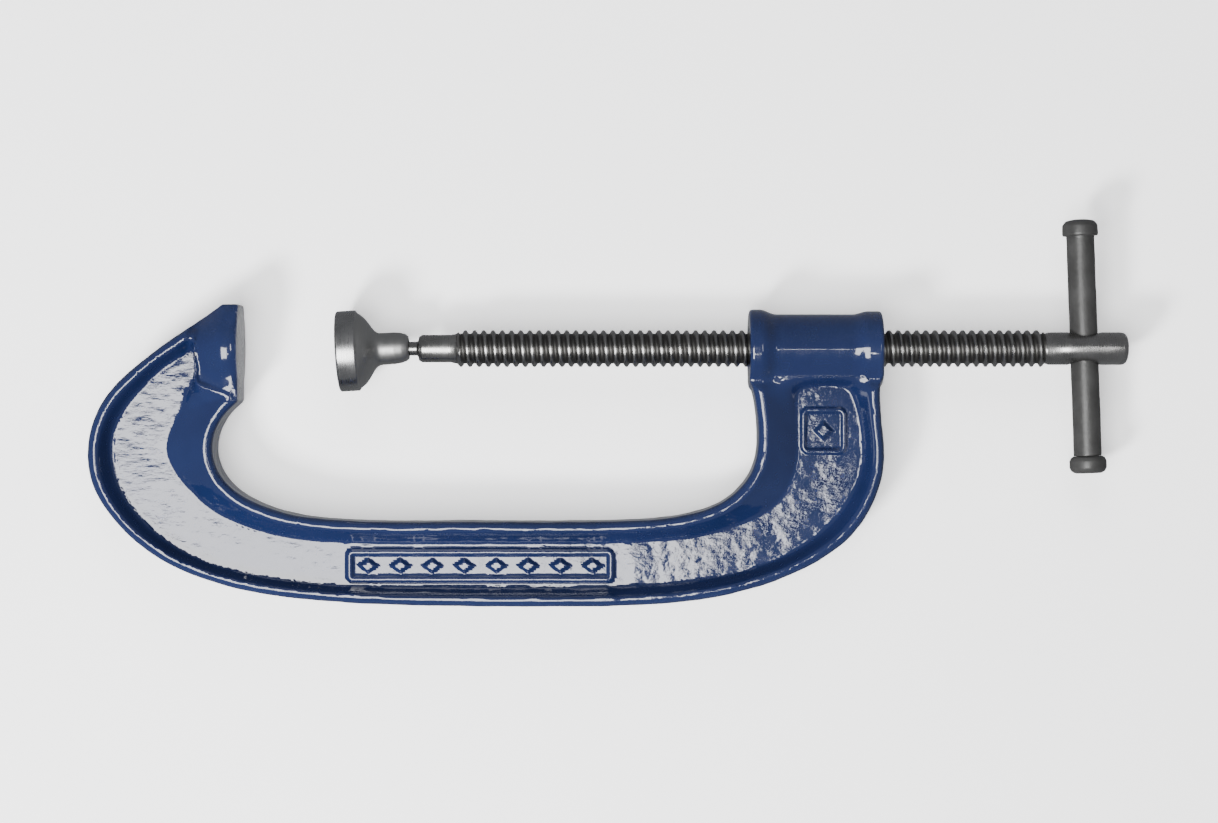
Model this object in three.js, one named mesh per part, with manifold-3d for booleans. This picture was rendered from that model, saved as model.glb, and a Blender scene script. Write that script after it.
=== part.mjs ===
// G-clamp (C-clamp), nominal 150 mm, lying flat.
// Millimetres. +X runs along the screw from the fixed anvil to the handle, +Y points from the
// frame's spine to the screw, +Z is up out of the plane of the frame.
// Origin: the centre of the anvil's working face, on the screw's axis.
import * as THREE from 'three';
import { mergeVertices } from 'three/addons/utils/BufferGeometryUtils.js';
import Module from 'manifold-3d';

// ---- driving dimensions ------------------------------------------------------------------
const FRAME_HALF = 10.0;        // half the thickness of the flanges
const WEB_HALF = 3.5;           // half the thickness of the web between them
const EDGE = 2.0;               // rounding of the flange edges, drawn as a chamfer in two steps
const EDGE_RISE = 2.6;
const PANEL_RISE = 1.3;         // the raised borders cast on the web

const ANVIL_R = 13.5;           // the round nose that carries the anvil's working face
const ANVIL_LIP = 7.0;          // its length along X
const ANVIL_TOP = 15.1, ANVIL_FOOT = -17.9;

const BOSS_X0 = 174.9, BOSS_X1 = 220.7; // the threaded boss
const BOSS_R = 12.0;
const RIM_A_R = 13.5, RIM_A_W = 7.0;    // the collar on the jaw side
const RIM_B_R = 12.9, RIM_B_W = 6.2;    // the collar on the handle side

const PITCH = 3.175;            // eight threads to the inch, right-handed
const CREST_R = 6.35, ROOT_R = 5.15;
const THREAD_X0 = 74.0, THREAD_X1 = 277.0;
const NUT_CREST_R = 6.72, NUT_ROOT_R = 5.46; // the female thread's outer and inner radius
const NUT_SIDE = 0.05;          // its side clearance, in pitches

const BALL_X = 50.5, BALL_R = 4.0;      // the ball that the pad swivels on
const NECK_R = 2.4, NECK_X1 = 60.9;
const SHANK_R = 4.76, SHANK_X0 = 62.4;
const HEAD_X0 = 278.0, HEAD_X1 = 304.9; // the flattened eye that holds the bar
const HEAD_R = 5.62, EYE_HALF_Z = 8.2;
const EYE_X = 290.6, EYE_HOLE_R = 5.4;

const PAD_TILT = 3.5;           // degrees that the pad hangs over at rest
const PAD_R = 13.9, PAD_FACE = -17.25, PAD_RIM = 6.75;
const BARREL_R = 5.5, SOCKET_R = 4.35, MOUTH = 7.2, LIP = 5.6, MOUTH_R = 3.6;

const RING_X0 = 3.85, RING_X1 = 4.65, RING_R0 = 2.75, RING_R1 = 3.75, RING_SPLIT = 0.7;

const BAR_TILT = 2.0;           // degrees that the bar leans in the eye
const BAR_R = 4.8, BAR_TOP = 44.7, BAR_FOOT = -36.8;
const KNOB_R = 6.15, KNOB_H = 5.8;
const SPIGOT_R = 3.3, SPIGOT_END = -41.2;
const CAP_R = 6.35, CAP_TOP = -37.1, CAP_END = -43.0, CAP_BORE_R = 3.6, CAP_BORE_END = -41.5;

// The frame's outline: OUTER from the anvil's back round the spine to the boss, INNER from the
// foot of the anvil's face round the throat to the boss.
const OUTER = [
  [-8.3, 13.3], [-17.4, 6.9], [-27.3, 0.1], [-34.4, -5.4], [-40.2, -10.5], [-44.5, -15.3], [-47.7, -20.1], [-50.0, -25.3],
  [-51.4, -30.7], [-51.9, -36.3], [-51.4, -41.8], [-50.0, -47.1], [-47.6, -52.1], [-44.1, -57.2], [-39.5, -62.5], [-34.3, -67.2],
  [-28.8, -71.2], [-22.5, -74.8], [-15.6, -77.8], [-7.9, -80.5], [0.3, -82.7], [9.2, -84.4], [18.7, -85.7], [29.2, -86.7],
  [40.8, -87.5], [53.1, -88.0], [66.1, -88.3], [80.2, -88.5], [95.3, -88.6], [111.9, -88.6], [125.3, -88.5], [136.5, -88.1],
  [146.8, -87.5], [156.3, -86.4], [165.2, -85.0], [173.7, -83.0], [181.7, -80.6], [189.2, -77.6], [196.2, -74.2], [202.3, -70.5],
  [207.5, -66.5], [211.6, -62.1], [215.0, -57.3], [217.8, -51.7], [219.9, -45.8], [220.9, -40.1], [221.0, -34.1], [220.1, -24.7],
  [219.5, -16.5], [219.7, -10.2], [219.6, 0.0],
];
const INNER = [
  [-0.5, -18.4], [-4.0, -21.8], [-6.7, -25.8], [-8.4, -30.1], [-9.0, -34.4], [-8.4, -38.5], [-6.7, -42.6], [-3.9, -46.3],
  [-0.0, -49.6], [4.9, -52.4], [10.8, -54.8], [17.6, -56.7], [25.0, -57.9], [33.6, -58.7], [44.4, -59.2], [56.5, -59.4],
  [70.7, -59.3], [85.9, -59.3], [102.1, -59.4], [116.0, -59.3], [128.6, -59.1], [139.1, -58.7], [147.4, -57.9], [154.6, -56.6],
  [160.7, -54.8], [165.8, -52.4], [169.9, -49.4], [173.3, -45.7], [175.7, -41.7], [177.1, -37.1], [177.7, -31.4], [177.5, -24.5],
  [176.7, -17.3], [175.1, -10.2], [175.4, 0.0],
];
// The pocket on each face of the bow: FLOOR is its edge on the web, CREST its edge on the flange.
const FLOOR = [
  [-16.4, -1.6], [-19.7, -3.1], [-22.7, -4.5], [-27.0, -7.7], [-30.4, -10.8], [-33.5, -14.1], [-37.3, -18.4], [-39.8, -22.2],
  [-41.9, -26.0], [-43.2, -30.1], [-43.6, -34.2], [-43.4, -38.3], [-42.7, -42.5], [-41.4, -46.6], [-39.5, -50.4], [-36.9, -54.5],
  [-33.8, -58.3], [-29.7, -62.4], [-23.9, -66.9], [-17.3, -70.8], [-9.4, -74.1], [-0.8, -76.5], [8.4, -78.3], [17.0, -79.6],
  [25.6, -80.6], [34.2, -81.2], [48.0, -81.5], [68.6, -81.7], [89.2, -81.7], [109.9, -81.7], [127.0, -81.4], [140.8, -80.8],
  [151.5, -79.8], [160.0, -78.7], [169.3, -77.0], [178.6, -74.1], [186.9, -70.7], [193.4, -66.9], [199.9, -61.7], [205.8, -55.2],
  [210.2, -48.0], [212.8, -40.7], [213.3, -34.9], [213.0, -28.7], [211.8, -22.9], [210.4, -18.4], [209.0, -15.3], [206.5, -13.4],
  [202.7, -12.9], [197.5, -13.2], [193.0, -14.6], [192.0, -17.7], [192.2, -24.6], [192.4, -33.2], [191.7, -40.4], [190.0, -45.7],
  [187.2, -50.7], [183.1, -55.2], [176.9, -59.1], [168.6, -62.4], [159.0, -65.0], [148.4, -66.4], [137.4, -67.1], [123.6, -67.6],
  [103.0, -67.7], [82.4, -67.7], [61.7, -67.7], [46.3, -67.6], [34.2, -67.2], [25.6, -66.7], [17.0, -65.7], [8.4, -63.8],
  [-0.1, -61.0], [-7.0, -57.8], [-12.9, -53.8], [-17.3, -49.5], [-21.1, -45.2], [-24.0, -40.7], [-25.5, -36.6], [-25.7, -32.8],
  [-24.9, -29.4], [-23.4, -26.0], [-21.8, -22.5], [-20.5, -19.1], [-19.4, -15.0], [-16.4, -11.2],
];
const CREST = [
  [-14.6, 1.4], [-22.1, 0.5], [-24.9, -1.5], [-29.3, -4.8], [-33.1, -7.8], [-36.4, -10.7], [-40.8, -15.1], [-44.0, -19.3],
  [-46.5, -23.8], [-48.2, -28.7], [-49.1, -33.7], [-49.1, -38.8], [-48.2, -43.9], [-46.3, -49.0], [-43.7, -53.3], [-40.4, -57.5],
  [-36.8, -61.5], [-32.0, -65.7], [-25.6, -70.0], [-18.6, -73.7], [-10.4, -76.9], [-1.6, -79.5], [7.9, -81.5], [16.7, -82.8],
  [25.3, -83.8], [34.0, -84.5], [47.8, -85.2], [68.6, -85.8], [89.2, -85.9], [109.9, -86.0], [127.2, -85.8], [141.0, -85.3],
  [151.9, -84.3], [160.7, -83.1], [170.2, -81.1], [179.9, -78.4], [188.9, -74.9], [196.2, -71.2], [203.5, -66.2], [210.9, -58.7],
  [215.7, -49.8], [218.0, -41.7], [218.4, -35.1], [217.9, -28.2], [217.3, -22.4], [217.0, -17.8], [212.2, -13.5], [208.1, -10.6],
  [203.0, -9.9], [197.2, -10.2], [191.4, -12.2], [179.5, -19.3], [180.2, -24.8], [180.3, -31.8], [179.6, -37.6], [178.3, -42.1],
  [176.9, -44.7], [175.0, -47.7], [171.3, -51.6], [165.3, -55.5], [157.1, -58.6], [147.7, -60.5], [137.2, -61.4], [123.5, -61.8],
  [102.9, -62.0], [82.4, -61.9], [61.7, -61.9], [46.4, -61.8], [34.5, -61.4], [26.2, -60.7], [18.1, -59.4], [10.2, -57.3],
  [3.4, -54.6], [-1.9, -51.4], [-5.8, -48.0], [-8.8, -44.1], [-10.3, -40.6], [-11.0, -38.9], [-11.5, -34.9], [-11.5, -34.1],
  [-11.2, -31.2], [-10.9, -29.4], [-10.0, -27.1], [-9.1, -24.8], [-7.8, -22.8], [-14.6, -11.5],
];

// Raised borders on the web: x0, y0, x1, y1, corner radius, border width.
const PANEL = [36.2, -80.7, 128.7, -68.7, 2.6, 2.8];
const BADGE = [192.4, -36.6, 208.5, -20.1, 3.0, 2.2];

// ---- solids --------------------------------------------------------------------------------
const wasm = await Module();
wasm.setup();
const { Manifold, Mesh } = wasm;

function solid(geometry, matrix) {
  const g = geometry.clone();
  if (matrix) g.applyMatrix4(matrix);
  for (const name of Object.keys(g.attributes)) if (name !== 'position') g.deleteAttribute(name);
  const m = mergeVertices(g, 1e-4);
  const index = Array.from(m.index.array);
  const tris = [];
  for (let i = 0; i < index.length; i += 3) {
    const [a, b, c] = index.slice(i, i + 3);
    if (a !== b && b !== c && c !== a) tris.push(a, b, c);
  }
  let out = new Manifold(new Mesh({ numProp: 3,
    vertProperties: Float32Array.from(m.attributes.position.array), triVerts: Uint32Array.from(tris) }));
  return out;
}

function geometryOf(manifold) {
  const mesh = manifold.getMesh();
  const g = new THREE.BufferGeometry();
  g.setAttribute('position', new THREE.BufferAttribute(Float32Array.from(mesh.vertProperties), 3));
  g.setIndex(Array.from(mesh.triVerts));
  g.computeVertexNormals();
  return g;
}

// A turned solid about +X from [x, r] pairs, first and last on the axis.
const ABOUT_X = new THREE.Matrix4().makeRotationZ(-Math.PI / 2);
function turned(profile, segments) {
  const g = new THREE.LatheGeometry(profile.map(([x, r]) => new THREE.Vector2(r, x)), segments);
  return solid(g, ABOUT_X);
}

// A turned solid about +Y from [y, r] pairs.
function turnedY(profile, segments) {
  return solid(new THREE.LatheGeometry(profile.map(([y, r]) => new THREE.Vector2(r, y)), segments));
}

// A solid from level outlines of equal point count, [points, z] from the bottom up.
function stack(levels) {
  const n = levels[0][0].length, positions = [], index = [];
  for (const [points, z] of levels) for (const [x, y] of points) positions.push(x, y, z);
  for (let k = 0; k + 1 < levels.length; k++) for (let i = 0; i < n; i++) {
    const j = (i + 1) % n, a = k * n + i, b = k * n + j, c = (k + 1) * n + j, d = (k + 1) * n + i;
    index.push(a, b, c, a, c, d);
  }
  const cap = (k) => THREE.ShapeUtils.triangulateShape(levels[k][0].map(([x, y]) => new THREE.Vector2(x, y)), []);
  const top = (levels.length - 1) * n;
  for (const [a, b, c] of cap(0)) index.push(a, c, b);
  for (const [a, b, c] of cap(levels.length - 1)) index.push(top + a, top + b, top + c);
  const g = new THREE.BufferGeometry();
  g.setAttribute('position', new THREE.Float32BufferAttribute(positions, 3));
  g.setIndex(index);
  return solid(g);
}

// An outline (anticlockwise) moved inwards by d along its corners' bisectors.
function inset(points, d) {
  const n = points.length;
  return points.map(([x, y], i) => {
    const [px, py] = points[(i + n - 1) % n], [qx, qy] = points[(i + 1) % n];
    const u = new THREE.Vector2(x - px, y - py).normalize(), v = new THREE.Vector2(qx - x, qy - y).normalize();
    const m = new THREE.Vector2(-(u.y + v.y), u.x + v.x).normalize();
    const k = d / Math.max(0.5, m.dot(new THREE.Vector2(-u.y, u.x)));
    return [x + m.x * k, y + m.y * k];
  });
}

// A plate of an anticlockwise outline, its edges rounded in three facets.
function plate(points, half, edge, rise) {
  const levels = [];
  for (const [d, z] of [[edge, half], [edge * 0.3, half - rise * 0.3], [0, half - rise]]) levels.push([inset(points, d), z]);
  return stack([...levels.map(([q, z]) => [q, -z]), ...[...levels].reverse()]);
}

function prism(points, z0, z1) {
  const shape = new THREE.Shape(points.map(([x, y]) => new THREE.Vector2(x, y)));
  const g = new THREE.ExtrudeGeometry(shape, { depth: z1 - z0, steps: 1, bevelEnabled: false });
  return solid(g, new THREE.Matrix4().makeTranslation(0, 0, z0));
}

// A pocket cutter: one outline at the web, a wider one at the flange's top and beyond it.
function pocket(floor, crest, z0, z1) {
  const n = floor.length, top = z1 + 1.0, positions = [], index = [];
  const grow = (z1 + 1.0 - z0) / (z1 - z0);
  for (let i = 0; i < n; i++) positions.push(floor[i][0], floor[i][1], z0);
  for (let i = 0; i < n; i++) {
    positions.push(floor[i][0] + (crest[i][0] - floor[i][0]) * grow,
      floor[i][1] + (crest[i][1] - floor[i][1]) * grow, top);
  }
  for (let i = 0; i < n; i++) {
    const j = (i + 1) % n;
    index.push(i, j, n + j, i, n + j, n + i);
  }
  const at = (k) => new THREE.Vector2(positions[3 * k], positions[3 * k + 1]);
  const low = [...Array(n).keys()].map(at), high = [...Array(n).keys()].map((k) => at(n + k));
  for (const [a, b, c] of THREE.ShapeUtils.triangulateShape(low, [])) index.push(a, c, b);
  for (const [a, b, c] of THREE.ShapeUtils.triangulateShape(high, [])) index.push(n + a, n + b, n + c);
  const g = new THREE.BufferGeometry();
  g.setAttribute('position', new THREE.Float32BufferAttribute(positions, 3));
  g.setIndex(index);
  const up = solid(g);
  return up;
}

// A right-handed screw thread about +X: root flat, flank, crest flat, flank, once in each pitch.
// THREAD_X0 is where the thread's phase starts, for the screw and for the nut alike.
function thread(x0, x1, rRoot, rCrest, side, segments) {
  const marks = [[0 + side, rRoot], [0.34 - side, rRoot], [0.5 - side, rCrest], [0.84 + side, rCrest]];
  const k = marks.length, n = segments;
  const first = Math.ceil((x0 - THREAD_X0) / PITCH) + 0, last = Math.floor((x1 - THREAD_X0) / PITCH) - 2;
  const rows = (last - first + 1) * k;
  const positions = [], index = [];
  const push = (x, r, j) => {
    const a = (j / n) * 2 * Math.PI;
    positions.push(x, r * Math.cos(a), r * Math.sin(a));
    return positions.length / 3 - 1;
  };
  const grid = [], start = [], end = [];
  for (let j = 0; j < n; j++) {
    const column = [];
    for (let m = first; m <= last; m++) {
      for (const [u, r] of marks) column.push(push(THREAD_X0 + PITCH * (m + u + j / n), r, j));
    }
    grid.push(column);
    start.push(push(x0 - 1, rRoot, j));
    end.push(push(x1 + 1, rRoot, j));
  }
  const tri = (a, b, c) => index.push(a, b, c);
  for (let j = 0; j < n; j++) {
    const wrap = j === n - 1, a = grid[j], b = grid[(j + 1) % n];
    const sa = start[j], sb = start[(j + 1) % n], ea = end[j], eb = end[(j + 1) % n];
    const shift = wrap ? k : 0;           // one turn on, the same ridge has moved by one pitch
    if (!wrap) { tri(sa, b[0], sb); tri(sa, a[0], b[0]); } else {
      tri(sa, b[0], sb);
      for (let i = 0; i < k; i++) tri(sa, b[i + 1], b[i]);
      tri(sa, a[0], b[k]);
    }
    for (let i = 0; i + 1 < rows; i++) {
      const p = i + shift;
      if (p + 1 >= rows) break;
      tri(a[i], b[p + 1], b[p]);
      tri(a[i], a[i + 1], b[p + 1]);
    }
    if (!wrap) { tri(a[rows - 1], eb, b[rows - 1]); tri(a[rows - 1], ea, eb); } else {
      tri(b[rows - 1], a[rows - 1 - k], eb);
      for (let i = rows - 1 - k; i < rows - 1; i++) tri(eb, a[i], a[i + 1]);
      tri(eb, a[rows - 1], ea);
    }
  }
  const cs = positions.length / 3; positions.push(x0 - 1, 0, 0);
  const ce = positions.length / 3; positions.push(x1 + 1, 0, 0);
  for (let j = 0; j < n; j++) {
    tri(cs, start[j], start[(j + 1) % n]);
    tri(ce, end[(j + 1) % n], end[j]);
  }
  // the winding above faces inwards
  for (let i = 0; i < index.length; i += 3) { const t = index[i + 1]; index[i + 1] = index[i + 2]; index[i + 2] = t; }
  const g = new THREE.BufferGeometry();
  g.setAttribute('position', new THREE.Float32BufferAttribute(positions, 3));
  g.setIndex(index);
  return solid(g);
}

const turn = (axis, degrees) => new THREE.Matrix4().makeRotationAxis(axis, THREE.MathUtils.degToRad(degrees));
const X = new THREE.Vector3(1, 0, 0);

// ---- frame ---------------------------------------------------------------------------------
// One casting: an I-section bow with the anvil at one end and the threaded boss at the other.
function makeFrame() {
  const bow = [...OUTER, ...[...INNER].reverse(), [0, ANVIL_TOP], [-6.0, ANVIL_TOP]];
  let body = plate(bow, FRAME_HALF, EDGE, EDGE_RISE);
  const upper = pocket(FLOOR, CREST, WEB_HALF, FRAME_HALF);
  const flip = new THREE.Matrix4().makeRotationX(Math.PI);
  const back = (pts) => pts.map(([x, y]) => [x, -y]).reverse();
  const under = solid(geometryOf(pocket(back(FLOOR), back(CREST), WEB_HALF, FRAME_HALF)), flip);
  body = body.subtract(upper).subtract(under);

  // the anvil's round nose
  body = body.add(turned([[-ANVIL_LIP, 0], [-ANVIL_LIP, ANVIL_R - 2.2], [-ANVIL_LIP + 0.9, ANVIL_R - 0.5],
    [-ANVIL_LIP + 1.8, ANVIL_R], [-0.8, ANVIL_R], [0, ANVIL_R - 0.8], [0, 0]], 32));

  // the boss, with a collar at each end
  const a0 = BOSS_X0, a1 = BOSS_X1, c = 1.2;
  body = body.add(turned([[a0, 0], [a0, RIM_A_R - c], [a0 + c, RIM_A_R], [a0 + RIM_A_W - c, RIM_A_R],
    [a0 + RIM_A_W + 1.4, BOSS_R], [a1 - RIM_B_W - 1.2, BOSS_R], [a1 - RIM_B_W + c, RIM_B_R],
    [a1 - c, RIM_B_R], [a1, RIM_B_R - c], [a1, 0]], 32));
  body = body.subtract(thread(a0 - 8, a1 + 8, NUT_ROOT_R, NUT_CREST_R, NUT_SIDE, 12));
  // a countersink at each mouth of the threaded hole
  const mouth = NUT_CREST_R + 0.5;
  body = body.subtract(turned([[a0 - 1, 0], [a0 - 1, mouth + 1], [a0 + mouth - NUT_ROOT_R, NUT_ROOT_R], [a0 + mouth - NUT_ROOT_R, 0]], 24));
  body = body.subtract(turned([[a1 - mouth + NUT_ROOT_R, 0], [a1 - mouth + NUT_ROOT_R, NUT_ROOT_R], [a1 + 1, mouth + 1], [a1 + 1, 0]], 24));

  // two raised borders on the front of the web: a long panel on the spine, a square one on the leg
  const border = (x0, y0, x1, y1, r, w) => {
    const box = (d, q) => {
      const p = [], rr = Math.max(r - d, 0.4);
      for (const [cx, cy, s] of [[x1 - d - rr, y1 - d - rr, 0], [x0 + d + rr, y1 - d - rr, 1], [x0 + d + rr, y0 + d + rr, 2], [x1 - d - rr, y0 + d + rr, 3]]) {
        for (let i = 0; i <= q; i++) {
          const t = (s + i / q) * Math.PI / 2;
          p.push([cx + rr * Math.cos(t), cy + rr * Math.sin(t)]);
        }
      }
      return p;
    };
    return prism(box(0, 3), WEB_HALF - 0.6, WEB_HALF + PANEL_RISE)
      .subtract(prism(box(w, 3), WEB_HALF - 1.2, WEB_HALF + PANEL_RISE + 1));
  };
  body = body.add(border(...PANEL)).add(border(...BADGE));
  return body;
}

// ---- screw ---------------------------------------------------------------------------------
// One piece: ball, neck, plain shank, thread, and a flattened head with a cross hole.
function makeScrew() {
  const ball = [];
  const end = Math.asin(NECK_R / BALL_R);
  for (let i = 0; i <= 9; i++) {
    const a = Math.PI - (i / 9) * (Math.PI - end);
    ball.push([BALL_X + BALL_R * Math.cos(a), i === 0 ? 0 : BALL_R * Math.sin(a)]);
  }
  let body = turned([...ball, [NECK_X1, NECK_R], [SHANK_X0, SHANK_R], [72.6, ROOT_R + 0.1], [76.5, ROOT_R + 0.1], [76.5, 0]], 20);
  const stock = turned([[75.5, 0], [75.5, 3.0], [75.5, ROOT_R + 0.05], [75.5 + CREST_R + 0.7 - ROOT_R, CREST_R + 0.7],
    [THREAD_X1 - 1.4, CREST_R + 0.7], [THREAD_X1 + 0.4, ROOT_R + 0.05], [THREAD_X1 + 0.4, 0]], 20);
  body = body.add(thread(60, 296, ROOT_R, CREST_R, 0, 12).intersect(stock));

  // the head: round where it leaves the thread, an upright oval at the eye
  const stations = [[276.6, 5.1, 5.1], [HEAD_X0, 5.6, 5.6], [281.0, HEAD_R, 7.2], [284.0, HEAD_R, EYE_HALF_Z],
    [HEAD_X1 - 1.2, HEAD_R, EYE_HALF_Z], [HEAD_X1, HEAD_R - 1.1, EYE_HALF_Z - 1.1]];
  const n = 20, positions = [], index = [];
  for (const [x, ry, rz] of stations) {
    for (let i = 0; i < n; i++) {
      const a = (i / n) * 2 * Math.PI, s = Math.sin(a), c = Math.cos(a);
      positions.push(x, ry * Math.sign(c) * Math.abs(c) ** 0.9, rz * Math.sign(s) * Math.abs(s) ** 0.9);
    }
  }
  for (let k = 0; k + 1 < stations.length; k++) for (let i = 0; i < n; i++) {
    const j = (i + 1) % n, a = k * n + i, b = k * n + j, c = (k + 1) * n + j, d = (k + 1) * n + i;
    index.push(a, b, c, a, c, d);
  }
  const c0 = positions.length / 3; positions.push(stations[0][0], 0, 0);
  const c1 = positions.length / 3; positions.push(HEAD_X1, 0, 0);
  for (let i = 0; i < n; i++) {
    const j = (i + 1) % n, q = (stations.length - 1) * n;
    index.push(c0, j, i, c1, q + i, q + j);
  }
  const g = new THREE.BufferGeometry();
  g.setAttribute('position', new THREE.Float32BufferAttribute(positions, 3));
  g.setIndex(index);
  body = body.add(solid(g));
  const hole = new THREE.CylinderGeometry(EYE_HOLE_R, EYE_HOLE_R, 40, 24);
  hole.translate(EYE_X, 0, 0);
  return body.subtract(solid(hole));
}

// ---- swivel pad, about the ball's centre ---------------------------------------------------------
function makePad() {
  const f = PAD_FACE;
  const outside = [[f, 0], [f, PAD_R - 0.7], [f + 0.7, PAD_R], [f + PAD_RIM - 0.5, PAD_R], [f + PAD_RIM, PAD_R - 0.5],
    [f + 8.05, 12.5], [f + 9.25, 11.5], [f + 10.35, 10.2], [f + 11.35, 8.7], [f + 12.25, 7.3], [f + 13.05, 6.3], [f + 14.1, 5.65], [f + 15.2, BARREL_R], [2.2, BARREL_R], [4.8, 5.15], [6.4, 4.6], [MOUTH, MOUTH_R + 0.3], [MOUTH, 0]];
  const inside = [];
  for (let i = 0; i <= 5; i++) {
    const a = Math.PI - (i / 5) * Math.PI / 2;
    inside.push([SOCKET_R * Math.cos(a), i === 0 ? 0 : SOCKET_R * Math.sin(a)]);
  }
  inside.push([LIP, SOCKET_R], [LIP, MOUTH_R], [MOUTH + 1, MOUTH_R], [MOUTH + 1, 0]);
  return turned(outside, 32).subtract(turned(inside, 24));
}

// ---- retaining ring, a split ring on the neck behind the ball ---------------------------------------
function makeRing() {
  const ring = turned([[RING_X0, 0], [RING_X0, RING_R1], [RING_X1, RING_R1], [RING_X1, 0]], 20)
    .subtract(turned([[RING_X0 - 1, 0], [RING_X0 - 1, RING_R0], [RING_X1 + 1, RING_R0], [RING_X1 + 1, 0]], 20));
  const slot = new THREE.BoxGeometry(4, 8, RING_SPLIT);
  slot.translate(RING_X0, -4, 0);
  return ring.subtract(solid(slot));
}

// ---- bar and its end cap, about the bar's axis on +Y -------------------------------------------------
function makeBar() {
  const k = BAR_TOP - KNOB_H;
  return turnedY([[SPIGOT_END, 0], [SPIGOT_END, SPIGOT_R - 0.3], [SPIGOT_END + 0.3, SPIGOT_R], [BAR_FOOT, SPIGOT_R],
    [BAR_FOOT, BAR_R], [k, BAR_R], [k, KNOB_R - 0.2], [k + 0.5, KNOB_R], [BAR_TOP - 2.0, KNOB_R - 0.1],
    [BAR_TOP - 0.9, KNOB_R - 1.0], [BAR_TOP - 0.2, KNOB_R - 3.0], [BAR_TOP, 0]], 24);
}
function makeCap() {
  const cap = turnedY([[CAP_END, 0], [CAP_END, CAP_R - 1.9], [CAP_END + 0.6, CAP_R - 0.7], [CAP_END + 1.9, CAP_R],
    [CAP_TOP - 1.6, CAP_R], [CAP_TOP - 0.5, CAP_R - 0.6], [CAP_TOP, CAP_R - 1.3], [CAP_TOP, 0]], 24);
  return cap.subtract(turnedY([[CAP_BORE_END, 0], [CAP_BORE_END, CAP_BORE_R], [CAP_TOP + 1, CAP_BORE_R], [CAP_TOP + 1, 0]], 20));
}

// ---- assembly --------------------------------------------------------------------------------
function piece(name, manifold, color, roughness, metalness) {
  const mesh = new THREE.Mesh(geometryOf(manifold), new THREE.MeshStandardMaterial({ color, roughness, metalness }));
  mesh.name = name;
  return mesh;
}

const clamp = new THREE.Group();
clamp.add(piece('frame', makeFrame(), 0x27406f, 0.25, 0.1));
clamp.add(piece('screw', makeScrew(), 0x77797b, 0.35, 1.0));

const swivel = new THREE.Group();
swivel.position.set(BALL_X, 0, 0);
swivel.rotation.z = THREE.MathUtils.degToRad(PAD_TILT);
swivel.add(piece('swivel_pad', makePad(), 0x7b7c7e, 0.5, 0.9));
clamp.add(swivel);

const ring = piece('pad_retaining_ring', makeRing(), 0x6f7072, 0.4, 1.0);
ring.position.set(BALL_X, 0, 0);
clamp.add(ring);

const handle = new THREE.Group();
handle.position.set(EYE_X, 0, 0);
handle.rotation.z = THREE.MathUtils.degToRad(BAR_TILT);
handle.add(piece('tommy_bar', makeBar(), 0x47484a, 0.45, 0.9));
handle.add(piece('tommy_bar_end_cap', makeCap(), 0x4a4b4d, 0.45, 0.9));
clamp.add(handle);

export default clamp;
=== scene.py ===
"""A 150 mm C-clamp lying on a pale floor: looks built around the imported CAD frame.

Lengths in the shape code are millimetres in the part's frame (origin at the anvil's face on the
screw's axis, +X to the handle, +Z up); put() turns them into metres.
"""
import math

import bmesh
import bpy
import numpy as np
from mathutils import Matrix, Vector


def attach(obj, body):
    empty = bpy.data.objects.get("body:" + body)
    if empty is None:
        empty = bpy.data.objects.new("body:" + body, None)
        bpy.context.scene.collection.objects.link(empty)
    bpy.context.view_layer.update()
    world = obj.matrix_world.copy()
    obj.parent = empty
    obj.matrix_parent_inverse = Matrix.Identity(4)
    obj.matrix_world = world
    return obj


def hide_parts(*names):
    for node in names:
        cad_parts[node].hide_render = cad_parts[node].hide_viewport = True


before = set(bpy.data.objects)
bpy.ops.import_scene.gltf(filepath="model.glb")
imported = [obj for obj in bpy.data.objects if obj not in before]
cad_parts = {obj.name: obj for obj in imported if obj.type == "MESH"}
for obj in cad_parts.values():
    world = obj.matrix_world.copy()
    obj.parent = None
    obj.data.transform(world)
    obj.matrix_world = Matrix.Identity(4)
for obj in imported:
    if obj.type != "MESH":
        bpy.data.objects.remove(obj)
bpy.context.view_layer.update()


# ---------------------------------------------------------------------------------------------
# Dimensions (mm), the same as the CAD's
# ---------------------------------------------------------------------------------------------
HALF, WEB, ROUND = 10.0, 3.5, 2.5
BOSS_X0, BOSS_X1, BOSS_R = 174.9, 220.7, 11.95
RIM_A_R, RIM_B_R = 13.5, 12.9
ANVIL_R = 13.5
BORE_R = 6.62
PITCH, CREST_R, ROOT_R = 3.175, 6.35, 5.15
THREAD_X0, THREAD_X1 = 74.0, 277.0
BALL_X, BALL_R, NECK_R = 50.5, 4.0, 2.4
PAD_TILT, BAR_TILT = math.radians(3.5), math.radians(2.0)
EYE_X = 290.6
PANEL = (36.2, -80.7, 128.7, -68.7)
BADGE = (192.4, -36.6, 208.5, -20.1)

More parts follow.
